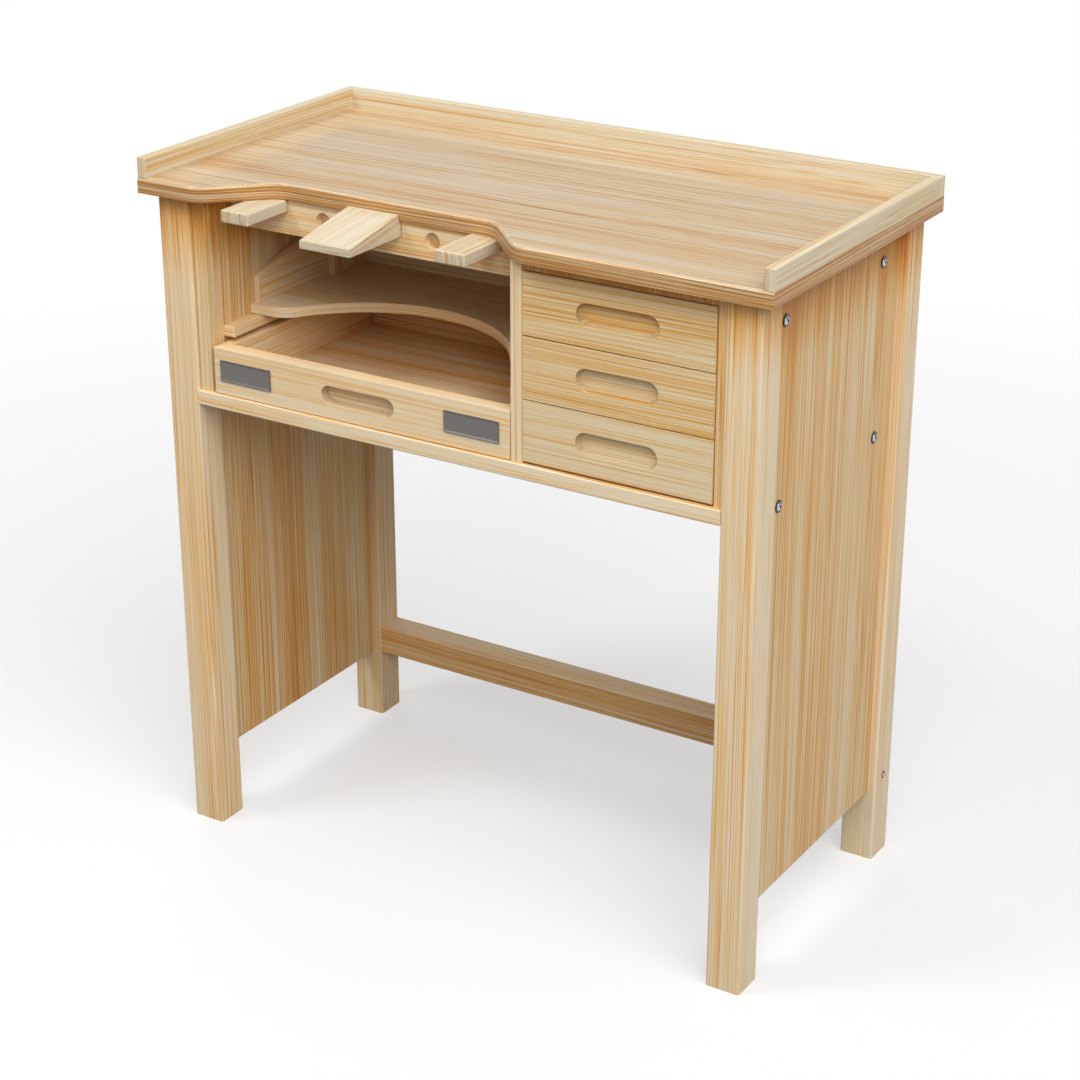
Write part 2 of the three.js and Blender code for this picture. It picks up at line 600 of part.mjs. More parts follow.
// The origin stands on the floor under the middle of the whole bench, bench pin included
bench.position.y = -(PIN_FRONT + TOP_DEPTH) / 2;

export default bench;
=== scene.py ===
import json
import math
import random

import bmesh
import bpy
from mathutils import Matrix, Vector

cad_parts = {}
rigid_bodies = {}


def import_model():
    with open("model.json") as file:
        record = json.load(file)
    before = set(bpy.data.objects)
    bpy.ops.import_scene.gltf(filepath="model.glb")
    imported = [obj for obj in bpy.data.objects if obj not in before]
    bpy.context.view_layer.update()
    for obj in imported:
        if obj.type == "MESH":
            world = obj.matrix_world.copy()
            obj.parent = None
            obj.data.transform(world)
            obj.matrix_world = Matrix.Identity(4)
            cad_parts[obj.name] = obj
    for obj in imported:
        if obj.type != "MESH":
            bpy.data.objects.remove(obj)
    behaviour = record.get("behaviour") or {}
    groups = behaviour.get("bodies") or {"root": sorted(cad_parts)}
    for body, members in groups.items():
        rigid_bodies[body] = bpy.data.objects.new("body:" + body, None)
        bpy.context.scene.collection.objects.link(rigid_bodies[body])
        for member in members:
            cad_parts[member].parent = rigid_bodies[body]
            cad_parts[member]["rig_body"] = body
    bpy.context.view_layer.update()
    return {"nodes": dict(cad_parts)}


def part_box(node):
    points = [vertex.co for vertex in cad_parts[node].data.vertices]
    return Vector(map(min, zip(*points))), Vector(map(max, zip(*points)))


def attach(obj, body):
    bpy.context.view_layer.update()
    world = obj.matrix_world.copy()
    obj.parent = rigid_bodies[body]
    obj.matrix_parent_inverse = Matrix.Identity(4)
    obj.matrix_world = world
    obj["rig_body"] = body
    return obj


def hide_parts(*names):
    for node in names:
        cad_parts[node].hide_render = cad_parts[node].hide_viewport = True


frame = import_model()

# Legs: four square posts of straight-grained softwood, planed and then sprayed with clear lacquer like the rest
# of the bench. Their long arrises are rounded over, and a groove in each one takes the edge of a side panel. Close
# under the table the wood is toned a deeper amber, as painted shade from the table.
LEGS = {"front_left_leg": -0.05, "front_right_leg": -0.35, "back_left_leg": 0.0, "back_right_leg": -0.22}
LEG_ARRIS = 0.003
LEG_SHORTEST_ARRIS = 0.85
LEG_SHADES = ((235, 218, 188), (234, 203, 153), (232, 180, 106), (214, 143, 69))
GRAIN = "grain"
STAIN = "stain"
PAINTED_DARK = "painted_dark"
END_BOW = 0.03
END_COARSE = 0.5
RIM_COARSE = 0.8
RIM_FOLLOWS = 0.8
RIM_STAINED = 0.4
# Painted shade close under the table: how much deeper the wood is toned at the table's underside, and how far down.
UNDER_TABLE_SHADE = 1.25
UNDER_TABLE_SHADE_REACH = 0.12
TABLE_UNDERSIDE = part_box("table_top")[0].z
X = Vector((1, 0, 0))
Y = Vector((0, 1, 0))
Z = Vector((0, 0, 1))


class Wire:
    """One output of a node in a finish. Arithmetic on it adds Math nodes to that finish."""

    def __init__(self, finish, socket):
        self.finish = finish
        self.socket = socket

    def math(self, operation, *values):
        return self.finish.node("Math", dict(enumerate(values)), operation=operation)

    def __add__(self, other):
        return self.math("ADD", self, other)

    def __sub__(self, other):
        return self.math("SUBTRACT", self, other)

    def __rsub__(self, other):
        return self.math("SUBTRACT", other, self)

    def __mul__(self, other):
        return self.math("MULTIPLY", self, other)

    __radd__ = __add__
    __rmul__ = __mul__


class Finish:
    """A material, or the sky, that is put together node by node in front of one shader."""

    def __init__(self, owner, shader, constants):
        owner.use_nodes = True
        self.owner = owner
        self.tree = owner.node_tree
        self.shader = self.tree.nodes[shader]
        self.feed(self.shader, constants)

    def feed(self, node, inputs):
        for key, value in inputs.items():
            if isinstance(value, Wire):
                self.tree.links.new(value.socket, node.inputs[key])
            else:
                node.inputs[key].default_value = value

    def node(self, kind, inputs, output=0, **settings):
        node = self.tree.nodes.new("ShaderNode" + kind)
        for key, value in settings.items():
            setattr(node, key, value)
        self.feed(node, inputs)
        return Wire(self, node.outputs[output])

    def noise(self, vector, stretch, detail=2.0):
        """Noise about zero, with so many features to the metre along each direction."""
        place = self.node("VectorMath", {0: vector, 1: stretch}, operation="MULTIPLY")
        return self.node("TexNoise", {"Vector": place, "Scale": 1.0, "Detail": detail}) - 0.5

    def ramp(self, value, low, high, kind="LINEAR"):
        limits = {"Value": value, "From Min": low, "From Max": high}
        return self.node("MapRange", limits, interpolation_type=kind)

    def blend(self, share, first, second):
        return self.node("Mix", {0: share, 6: first, 7: second}, output=2, data_type="RGBA")


def tint(red, green, blue):
    """A colour as it is seen on a screen, from 0 to 255, turned into the shader's linear colour."""
    shares = [channel / 255 for channel in (red, green, blue)]
    return (*(s / 12.92 if s <= 0.04045 else ((s + 0.055) / 1.055) ** 2.4 for s in shares), 1.0)


def wood(name, shades, tone, contrast=1.0, coat=0.12, gloss=0.2, ring=0.0055, shade_under_table=0.0):
    """Straight-grained softwood in four shades from pale to brown. Each piece's grain attribute holds the way along
    the board and the two offsets from the heart of the tree, so that streaks and year rings run on round every
    arris. Its stain attribute deepens the tone, and a darkening attribute takes light out of it as painted shade. A
    finish with a shade under the table also deepens close under the table's underside, as painted shade."""
    pale, honey, amber, brown = (tint(*shade) for shade in shades)
    finish = Finish(bpy.data.materials.new(name), "Principled BSDF", {
        "Specular IOR Level": 0.12,
        "Coat Roughness": gloss,
        "Coat IOR": 1.5,
    })
    straight = finish.node("Attribute", {}, output="Vector", attribute_name=GRAIN)
    stain = finish.node("Attribute", {}, output="Fac", attribute_name=STAIN)
    place = finish.node("TexCoord", {}, output="Object")
    height = finish.node("SeparateXYZ", {0: place}, output="Z")
    # Painted shade: the tone deepens over the last stretch below the table's underside.
    near_table_underside = finish.ramp(height, TABLE_UNDERSIDE - UNDER_TABLE_SHADE_REACH, TABLE_UNDERSIDE, "SMOOTHSTEP")
    swing = finish.node("VectorMath", {0: straight, 1: (1.5, 8, 8)}, operation="MULTIPLY")
    swing = finish.node("TexNoise", {"Vector": swing, "Scale": 1.0, "Detail": 1.0}, output="Color")
    grain = finish.node("VectorMath", {0: swing, 1: (0, 0.008, 0.008), 2: straight}, operation="MULTIPLY_ADD")
    zones = finish.noise(grain, (0.5, 18, 18))
    bands = finish.noise(grain, (0.5, 55, 55))
    streaks = finish.noise(grain, (0.7, 150, 150))
    lines = finish.noise(grain, (1.0, 480, 480))
    hairs = finish.noise(grain, (2.0, 950, 950), detail=1.0)
    fibres = finish.noise(grain, (40, 700, 700), detail=1.0)

    across = finish.node("VectorMath", {0: grain, 1: (0, 1, 1)}, operation="MULTIPLY")
    from_heart = finish.node("VectorMath", {0: across}, output="Value", operation="LENGTH")
    years = from_heart * (1 / ring) + finish.noise(grain, (0.8, 7, 7), detail=1.0) * 6 + streaks * 0.8
    season = years.math("FRACT", years)
    vigour = finish.node("TexWhiteNoise", {"W": years.math("FLOOR", years)}, noise_dimensions="1D")
    swelling = finish.ramp(season, 0.35, 0.88, "SMOOTHSTEP")
    ending = finish.ramp(season, 0.90, 1.0, "SMOOTHSTEP")
    fading = finish.ramp(finish.noise(grain, (2.5, 40, 40)), -0.16, 0.12, "SMOOTHSTEP")
    ring_line = swelling * (1 - ending) * vigour * fading

    figure = zones * 2.2 + bands * 1.1 + streaks * 0.7 + lines * 1.7 + hairs * 5.0 + fibres * 0.5 + ring_line * 0.4
    depth = figure * contrast + stain + tone + near_table_underside * shade_under_table
    colour = finish.blend(finish.ramp(depth, 0.0, 0.5), pale, honey)
    colour = finish.blend(finish.ramp(depth, 0.5, 1.0), colour, amber)
    colour = finish.blend(finish.ramp(depth, 1.0, 1.6), colour, brown)
    colour = finish.blend(finish.node("Attribute", {}, output="Fac", attribute_name=PAINTED_DARK), colour, (0, 0, 0, 1))
    relief = ring_line + lines + hairs
    finish.feed(finish.shader, {
        "Base Color": colour,
        "Coat Weight": coat * finish.ramp(stain, 1.0, 0.5),
        "Roughness": 0.42 + ring_line * 0.1 + fibres * 0.15,
        "Normal": finish.node("Bump", {"Strength": 0.1, "Distance": 0.0003, "Height": relief}),
    })
    return finish.owner


def node_copy(node):
    """The CAD node's triangles in a new bmesh, joined up, with every flat side made one face again."""
    bm = bmesh.new()
    bm.from_mesh(frame["nodes"][node].data)
    bmesh.ops.remove_doubles(bm, verts=bm.verts, dist=1e-5)
    bmesh.ops.dissolve_limit(bm, angle_limit=math.radians(1), verts=bm.verts, edges=bm.edges)
    return bm


def arrises(bm, along=None, shortest=0.012):
    """The sharp edges that are at least so long, all of them or those that run along one direction."""
    found = []
    for edge in bm.edges:
        sharp = len(edge.link_faces) == 2 and edge.calc_face_angle() > math.radians(35)
        if sharp and edge.calc_length() >= shortest:
            run = (edge.verts[1].co - edge.verts[0].co).normalized()
            if along is None or abs(run.dot(along)) > 0.99:
                found.append(edge)
    return found


def rounded(bm, edges, radius, steps=2):
    bmesh.ops.bevel(bm, geom=edges, offset=radius, offset_type="OFFSET", segments=steps, profile=0.5,
                    affect="EDGES", clamp_overlap=True, material=-1)


def lay_grain(bm, name, along, rim=None, ends=None, heart=None, deeper=0.0):
    """Writes where each face corner lies in its tree: how far along the grain, and its two offsets from the heart.
    On a board with a rim the narrow faces take streaks that follow the edge, in a tone that is deeper by the rim's
    value. On a bar with ends the end faces take streaks that run that way. A deeper board is toned all over."""
    chance = random.Random(name)
    low = Vector([min(v.co[i] for v in bm.verts) for i in range(3)])
    size = Vector([max(v.co[i] for v in bm.verts) for i in range(3)]) - low
    middle = low + size / 2
    along = along.normalized()
    across = sorted((a for a in (X, Y, Z) if abs(a.dot(along)) < 0.9), key=lambda axis: -axis.dot(size))
    wide, thin = ((axis - axis.dot(along) * along).normalized() for axis in across)
    start = chance.uniform(0, 6)
    reach = (wide.dot(size) / 2 + chance.uniform(0.04, 0.12)) * chance.choice((-1, 1))
    under = chance.uniform(0.02, 0.06) * chance.choice((-1, 1))
    if heart:
        reach, under = heart
    grain = bm.loops.layers.float_vector.new(GRAIN)
    stain = bm.loops.layers.float.new(STAIN)
    for face in bm.faces:
        on_end = abs(face.normal.dot(along)) > 0.75
        level = abs(face.normal.dot(thin))
        on_rim = rim is not None and level < RIM_FOLLOWS
        run = along if on_end else (along - along.dot(face.normal) * face.normal).normalized()
        beside = (wide - wide.dot(run) * run).normalized()
        below = (thin - thin.dot(run) * run).normalized()
        for loop in face.loops:
            place = loop.vert.co - middle
            loop[stain] = deeper
            if on_rim:
                follows = wide if on_end else along
                loop[grain] = (place.dot(follows) + start, reach, place.dot(thin) * RIM_COARSE + under)
                loop[stain] = deeper + (rim if level < RIM_STAINED else 0)
            elif on_end and ends:
                sideways = wide if ends.dot(wide) < 0.5 else thin
                bow = place.dot(ends) * END_BOW + under
                loop[grain] = (place.dot(ends) + start, place.dot(sideways) * END_COARSE + reach, bow)
            else:
                loop[grain] = (place.dot(run) + start, place.dot(beside) + reach, place.dot(below) + under)


def fitted(bm, name, material, body, slot, *nodes, crease=50):
    """Makes the piece's object, smooth over its eased arrises and flat on its sides, and fits it to the frame."""
    mesh = bpy.data.meshes.new(name)
    for face in bm.faces:
        face.smooth = True
    for edge in bm.edges:
        edge.smooth = True
    bm.to_mesh(mesh)
    bm.free()
    if "custom_normal" in mesh.attributes:
        mesh.attributes.remove(mesh.attributes["custom_normal"])
    mesh.materials.clear()
    mesh.materials.append(material)
    mesh.set_sharp_from_angle(angle=math.radians(crease))
    piece = bpy.data.objects.new(name, mesh)
    bpy.context.scene.collection.objects.link(piece)
    even = piece.modifiers.new("even_sides", "WEIGHTED_NORMAL")
    even.keep_sharp = True
    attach(piece, body)
    if nodes:
        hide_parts(*nodes)
    return piece


def board(node, along, material, radius=0.001, steps=2, edges=arrises, rim=0.0, deeper=0.0):
    """A finer lacquered board in the CAD node's place, with eased arrises and its own stretch of grain."""
    bm = node_copy(node)
    rounded(bm, edges(bm), radius, steps)
    lay_grain(bm, node, along, rim, deeper=deeper)
    return fitted(bm, f"{node}_board", material, frame["nodes"][node]["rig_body"], "lacquered_wood", node)


leg_pine = wood("leg_pine", LEG_SHADES, tone=0.4, contrast=0.85, shade_under_table=UNDER_TABLE_SHADE)
pine = wood("lacquered_pine", LEG_SHADES, tone=0.4, contrast=0.85)
for leg, deeper in LEGS.items():
    board(leg, Z, leg_pine, LEG_ARRIS, 4, lambda bm: arrises(bm, Z, LEG_SHORTEST_ARRIS), rim=None, deeper=deeper)

# Side panels: wide softwood boards with upright grain, tongued into the legs' grooves. Their wood is a little
# deeper in colour than the legs', with more amber in its streaks.
PANEL_SHORTEST_ARRIS = 0.1
# The left panel is toned deeper than the right, as painted shade for its inner face under the case.
PANEL_DEEPER = {"left": 0.22, "right": 0.08}
PANEL_SHADES = ((226, 208, 173), (223, 189, 133), (217, 164, 85), (200, 131, 57))
# The panels, like the legs, deepen close under the table, as painted shade.
panel_pine = wood("panel_pine", PANEL_SHADES, tone=0.48, coat=0.1, shade_under_table=UNDER_TABLE_SHADE)
for side in ("left", "right"):
    node = f"{side}_side_panel"
    deeper = PANEL_DEEPER[side]
    board(node, Z, panel_pine, edges=lambda bm: arrises(bm, shortest=PANEL_SHORTEST_ARRIS), rim=None, deeper=deeper)

# Stretcher: a stout rail tenoned between the back legs, low down, with rounded arrises. A socket-head screw goes
# through each back leg into the end of it, and its plated steel head shows on the leg's outer face.
STRETCHER_ARRIS = 0.0025
STRETCHER_DEEPER = 0.0
STRETCHER_FRONT_STAIN = 0.5
SCREW_BELOW_MIDDLE = 0.0035
SCREW_SCALE = 0.625
BOLT_SHANK = 0.003
BOLT_LENGTH = 0.04
WASHER_SEAT = 0.0002
WASHER_RADIUS = 0.008
WASHER_TOP = 0.0014
HEAD_RADIUS = 0.0053
HEAD_EDGE = 0.0019
HEAD_FLAT = 0.0034
HEAD_TOP = 0.0033
HEAD_MOUTH = 0.0029
SOCKET_RADIUS = 0.0024
SOCKET_DEPTH = 0.0019
BOLT_EASE = 0.0005
# Painted darkening of the bolt: the washer in place of a dark reflection, the crease round the head and the socket as
# shade.
WASHER_PAINTED_DARK = 0.9
CORNER_PAINTED_SHADE = 0.97
SOCKET_PAINTED_SHADE = 0.85
TURNED_SIDES = 40
board("back_stretcher", X, pine, STRETCHER_ARRIS, 3, lambda bm: arrises(bm, X, 0.5), STRETCHER_FRONT_STAIN,
      STRETCHER_DEEPER)


def plated_steel(name, dark, bright, metallic, roughness, grind):
    """Plated steel, with fine marks that are stretched the way it was ground."""
    finish = Finish(bpy.data.materials.new(name), "Principled BSDF", {"Metallic": metallic})
    place = finish.node("TexCoord", {}, output="Object")
    marks = finish.noise(place, grind, detail=3.0)
    colour = finish.blend(finish.ramp(marks, -0.2, 0.2), tint(*dark), tint(*bright))
    # A darkening attribute on the bolt's faces takes the colour towards black, as painted shade and a painted dark
    # reflection.
    painted_darkening = finish.node("Attribute", {}, output="Fac", attribute_name=PAINTED_DARK)
    finish.feed(finish.shader, {
        "Base Color": finish.blend(painted_darkening, colour, (0, 0, 0, 1)),
        "Roughness": roughness + marks * 0.12,
    })
    return finish.owner


def socket_bolt(scale):
    """A bolt with a low domed head and a hexagon socket, on a washer, turned about X with its seat at the origin."""
    bm = bmesh.new()
    profile = [(-BOLT_LENGTH, 0), (-BOLT_LENGTH, BOLT_SHANK), (WASHER_SEAT, BOLT_SHANK), (WASHER_SEAT, WASHER_RADIUS),
               (WASHER_TOP, WASHER_RADIUS), (WASHER_TOP, HEAD_RADIUS), (HEAD_EDGE, HEAD_RADIUS),
               (HEAD_TOP, HEAD_FLAT), (HEAD_TOP, HEAD_MOUTH)]
    corners = [bm.verts.new((along, radius, 0)) for along, radius in profile]
    for first, second in zip(corners, corners[1:]):
        bm.edges.new((first, second))
    bmesh.ops.spin(bm, geom=bm.verts[:] + bm.edges[:], cent=(0, 0, 0), axis=X, angle=math.tau, steps=TURNED_SIDES,
                   use_merge=True)
    bmesh.ops.remove_doubles(bm, verts=bm.verts, dist=1e-6)
    mouth = [edge for edge in bm.edges if edge.is_boundary]
    quarter = Matrix.Translation((HEAD_TOP, 0, 0)) @ Matrix.Rotation(math.pi / 2, 4, "Y")
    ring = bmesh.ops.create_circle(bm, segments=6, radius=SOCKET_RADIUS, matrix=quarter)["verts"]
    key_edges = list({edge for vert in ring for edge in vert.link_edges})
    bmesh.ops.triangle_fill(bm, use_beauty=True, edges=mouth + key_edges, normal=X)
    sunk = bmesh.ops.extrude_edge_only(bm, edges=key_edges)["geom"]
    sunk_verts = [part for part in sunk if isinstance(part, bmesh.types.BMVert)]
    bmesh.ops.translate(bm, verts=sunk_verts, vec=(-SOCKET_DEPTH, 0, 0))
    bmesh.ops.contextual_create(bm, geom=[e for e in sunk if isinstance(e, bmesh.types.BMEdge) and e.is_boundary])
    bmesh.ops.recalc_face_normals(bm, faces=bm.faces)
    turned = [e for e in arrises(bm, shortest=0) if all(v.co.x > WASHER_SEAT and v.co.yz.length > HEAD_MOUTH
                                                        for v in e.verts)]
    rounded(bm, turned, BOLT_EASE, 3)
    bmesh.ops.remove_doubles(bm, verts=bm.verts, dist=2e-6)
    # The washer is darkened in place of a dark reflection, the wall round the head's foot nearly blackened as painted
    # shade in the crease, and the socket darkened as painted shade.
    painted_dark = bm.loops.layers.float.new(PAINTED_DARK)
    for face in bm.faces:
        place = face.calc_center_median()
        if place.x < HEAD_EDGE - BOLT_EASE:
            level = CORNER_PAINTED_SHADE if place.yz.length < HEAD_RADIUS + BOLT_EASE else WASHER_PAINTED_DARK
        else:
            level = SOCKET_PAINTED_SHADE if place.x < HEAD_TOP - BOLT_EASE and place.yz.length < HEAD_MOUTH else 0
        for loop in face.loops:
            loop[painted_dark] = level
    bmesh.ops.scale(bm, vec=(scale, scale, scale), verts=bm.verts)
    return bm


bolt_steel = plated_steel("bolt_steel", (176, 177, 180), (200, 201, 203), 1.0, 0.1, (260, 260, 260))
for side, sign in (("left", -1), ("right", 1)):
    leg_low, leg_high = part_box(f"back_{side}_leg")
    rail_low, rail_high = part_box("back_stretcher")
    rail_middle = (rail_low + rail_high) / 2
    face = leg_high.x if sign > 0 else leg_low.x
    bm = socket_bolt(SCREW_SCALE)
    place = Matrix.Translation((face, rail_middle.y, rail_middle.z - SCREW_BELOW_MIDDLE))
    bmesh.ops.transform(bm, matrix=place @ Matrix.Rotation(0 if sign > 0 else math.pi, 4, "Z"), verts=bm.verts)
    fitted(bm, f"{side}_stretcher_screw", bolt_steel, "frame", "bright_steel")

# Case: the bottom board that the drawers run on, the two case sides, the divider between the bays and the thin
# back. They are planed boards, glued and bolted together between the legs, with lightly eased arrises.
BOARD_ARRIS = 0.002
CASE_SHORTEST_ARRIS = 0.03
BOTTOM_DEEPER = 0.15


def long_arrises(bm):
    return arrises(bm, shortest=CASE_SHORTEST_ARRIS)


board("bottom_board", X, pine, BOARD_ARRIS, 3, long_arrises, deeper=BOTTOM_DEEPER)
# The left case side and the back panel take panel_pine, so they too deepen close under the table, as painted shade.
board("left_case_side", Z, panel_pine, edges=long_arrises)
board("right_case_side", Z, pine, edges=long_arrises)
board("bay_divider", Z, pine)
board("back_panel", X, panel_pine)

# Connecting bolts: plated steel bolts with domed socket heads on washers, eight in all. They go through the side
# panels into the case and draw the bench together.
for side, sign in (("left", -1), ("right", 1)):
    for row in ("upper", "lower"):
        for column in ("front", "back"):
            node = f"{side}_{row}_{column}_bolt"
            low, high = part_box(node)
            middle = (low + high) / 2
            seat = (high.x if sign > 0 else low.x) - sign * HEAD_TOP
            bm = socket_bolt(1)
            turn = Matrix.Rotation(0 if sign > 0 else math.pi, 4, "Z")
            bmesh.ops.transform(bm, matrix=Matrix.Translation((seat, middle.y, middle.z)) @ turn, verts=bm.verts)
            fitted(bm, f"{node}_steel", bolt_steel, "frame", "bright_steel", node)

# Apron and arm guide: the apron hangs under the table's scoop, with notches for the arm rests, a mortise for the
# bench pin and two blind sockets for tools. The guide board behind it keeps the arm rests straight.
for name in ("front_apron", "arm_guide"):
    board(name, X, pine, edges=lambda bm: arrises(bm, X, CASE_SHORTEST_ARRIS), rim=None)

# Arm rests: two bars of pale sanded wood, rounded on every edge, that slide out through the apron. Their front ends
# show the year rings.
ARM_EDGE = 0.0025
ARM_HEART = (0.036, 0.012)
ARM_DEEPER = -0.1
SANDED_SHADES = ((206, 196, 174), (204, 185, 150), (201, 159, 103), (187, 131, 71))
sanded = wood("sanded_wood", SANDED_SHADES, tone=0.25, contrast=0.8, coat=0.08, gloss=0.3)
for side in ("left", "right"):
    node = f"{side}_arm_rest"
    low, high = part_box(node)
    bm = bmesh.new()
    bmesh.ops.create_cube(bm, matrix=Matrix.LocRotScale((low + high) / 2, None, high - low))
    rounded(bm, bm.edges[:], ARM_EDGE, 4)
    lay_grain(bm, node, Y, ends=Z, heart=ARM_HEART, deeper=ARM_DEEPER)
    fitted(bm, f"{node}_bar", sanded, f"{side}_arm", "sanded_wood", node)

# Bench pin: a wedge of the same pale wood with a tongue that plugs into the apron. It is sawn from a wider board, so
# its streaks run a little across it.
PIN_GRAIN = Vector((0.12, 0.98, 0.18))
PIN_EDGE = 0.001
bm = node_copy("bench_pin")
rounded(bm, arrises(bm), PIN_EDGE)
lay_grain(bm, "bench_pin", PIN_GRAIN, ends=X)
fitted(bm, "bench_pin_wedge", sanded, "pin", "sanded_wood", "bench_pin")

# Drawer rail and dust panels: the rail closes the gap over the drawers, and the panels carry the upper two.
# The rail is toned much deeper, as painted shade under the table.
board("drawer_top_rail", Z, pine, rim=None, deeper=1.1)
for name in ("lower_dust_panel", "upper_dust_panel"):
    board(name, X, pine)

# Drawers: three plain boxes with thick fronts. Each front has a round-ended finger pull, routed out with a cutter
# that leaves a soft corner round the floor of the pocket. The pocket's walls are darkened, as painted shade.
# The fronts are toned deeper the higher they sit, as painted shade from the table above; each also differs as its own
# board.
DRAWER_TONE_AND_SHADE = {"lower": -0.16, "middle": -0.04, "upper": 0.22}
FRONT_ARRIS = 0.0003
FRONT_PLAY = 0.0005
BOX_ARRIS = 0.0008
PULL_LENGTH = 0.111
PULL_HEIGHT = 0.028
PULL_DEPTH = 0.008
PULL_RIM = 0.0006
PULL_FILLET = 0.0045
PULL_FLOOR = 0.95
PULL_PAINTED_SHADE = 0.3
RIM_STEPS = 3
FILLET_STEPS = 6
ARC_STEPS = 16


def outline(bm, start, *moves):
    """Draws a closed outline in plan. A move is (x, y) to run straight there, or (x, y, turn) to swing round it."""
    first = last = bm.verts.new((*start, 0))
    for x, y, *turn in moves:
        if turn:
            swung = bmesh.ops.spin(bm, geom=[last], cent=(x, y, 0), axis=Z, angle=turn[0], steps=ARC_STEPS)
            last = swung["geom_last"][0]
        else:
            corner = bm.verts.new((x, y, 0))
            bm.edges.new((last, corner))
            last = corner
    bm.edges.new((last, first))
    drawn = [first]
    while len(drawn) < 2 or drawn[-1] is not first:
        ahead = [e.other_vert(drawn[-1]) for e in drawn[-1].link_edges]
        drawn.append(next(v for v in ahead if len(drawn) < 2 or v is not drawn[-2]))
    return drawn[:-1]


def pulled_front(node, material, length, height, depth, fillet, deeper):
    """A drawer front with its finger pull. The pocket goes down in steps: a rounded rim, a wall and a fillet."""
    low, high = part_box(node)
    low += Vector((FRONT_PLAY, 0, FRONT_PLAY))
    high -= Vector((FRONT_PLAY, 0, FRONT_PLAY))
    middle = (low + high) / 2
    radius = height / 2 + PULL_RIM
    reach = (length - height) / 2
    bm = bmesh.new()
    mouth = outline(bm, (reach, -radius), (reach, 0, math.pi), (-reach, radius), (-reach, 0, math.pi))
    mouth_edges = bm.edges[:]
    upright = Matrix.Translation((middle.x, low.y, middle.z)) @ Matrix.Rotation(math.pi / 2, 4, "X")
    bmesh.ops.transform(bm, matrix=upright, verts=mouth)
    pocket = bm.faces.new(mouth)
    block = bmesh.ops.create_cube(bm, matrix=Matrix.LocRotScale(middle, None, high - low))["verts"]
    face = min({f for v in block for f in v.link_faces}, key=lambda f: f.calc_center_median().y)
    face_edges = face.edges[:]
    bmesh.ops.delete(bm, geom=[face], context="FACES_ONLY")
    bmesh.ops.triangle_fill(bm, use_beauty=True, edges=face_edges + mouth_edges, normal=-Y)

    inward, down = [0], [0]
    for step in range(1, RIM_STEPS + 1):
        angle = step / RIM_STEPS * math.pi / 2
        inward.append(PULL_RIM * math.sin(angle))
        down.append(PULL_RIM * (1 - math.cos(angle)))
    for step in range(FILLET_STEPS + 1):
        angle = step / FILLET_STEPS * math.pi / 2
        inward.append(PULL_RIM + fillet * (1 - math.cos(angle)) + 1e-5)
        down.append(depth - fillet + fillet * math.sin(angle))
    for step in range(1, len(down)):
        bmesh.ops.inset_region(bm, faces=[pocket], thickness=inward[step] - inward[step - 1], use_even_offset=True)
        bmesh.ops.translate(bm, verts=pocket.verts, vec=(0, down[step] - down[step - 1], 0))
    bmesh.ops.recalc_face_normals(bm, faces=bm.faces)
    # Painted shade: the pocket's walls, not its floor, are darkened towards black.
    painted_dark = bm.loops.layers.float.new(PAINTED_DARK)
    for face in bm.faces:
        off = face.calc_center_median() - middle
        if abs(off.x) < length / 2 and abs(off.z) < height / 2 and abs(face.normal.y) < PULL_FLOOR:
            for loop in face.loops:
                loop[painted_dark] = PULL_PAINTED_SHADE
    rounded(bm, face_edges, FRONT_ARRIS)
    lay_grain(bm, node, X, deeper=deeper)
    return fitted(bm, f"{node}_board", material, frame["nodes"][node]["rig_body"], "lacquered_wood", node)


drawer_pine = wood("drawer_pine", PANEL_SHADES, tone=0.46, contrast=0.75)
for name, deeper in DRAWER_TONE_AND_SHADE.items():
    pulled_front(f"{name}_drawer_front", drawer_pine, PULL_LENGTH, PULL_HEIGHT, PULL_DEPTH, PULL_FILLET, deeper)
    for part, along in (("left_side", Y), ("right_side", Y), ("back", X), ("bottom", X)):
        board(f"{name}_drawer_{part}", along, pine, BOX_ARRIS)

# Tray: an arched floor that slides on two runners, with sloping cheeks, a back and two corner blocks. The arch is
# sawn with a long curve that eases into the front edge.
ARCH_DEPTH = 0.109
ARCH_RADIUS = 0.192
ARCH_EASE = 0.040
TRAY_ARRIS = 0.0012
TRAY_DEEPER = -0.1
for side in ("left", "right"):
    board(f"{side}_tray_runner", Y, pine, TRAY_ARRIS, deeper=TRAY_DEEPER)
    board(f"tray_{side}_cheek", Y, pine, TRAY_ARRIS, deeper=TRAY_DEEPER)
    board(f"tray_{side}_block", Z, pine, TRAY_ARRIS)
board("tray_back", X, pine, TRAY_ARRIS, deeper=TRAY_DEEPER)


def raise_face(bm, face, height):
    """Pulls a flat face up into a slab of the given height."""
    raised = bmesh.ops.extrude_face_region(bm, geom=[face], use_keep_orig=True)["geom"]
    bmesh.ops.translate(bm, verts=[v for v in raised if isinstance(v, bmesh.types.BMVert)], vec=Z * height)
    bmesh.ops.recalc_face_normals(bm, faces=bm.faces)


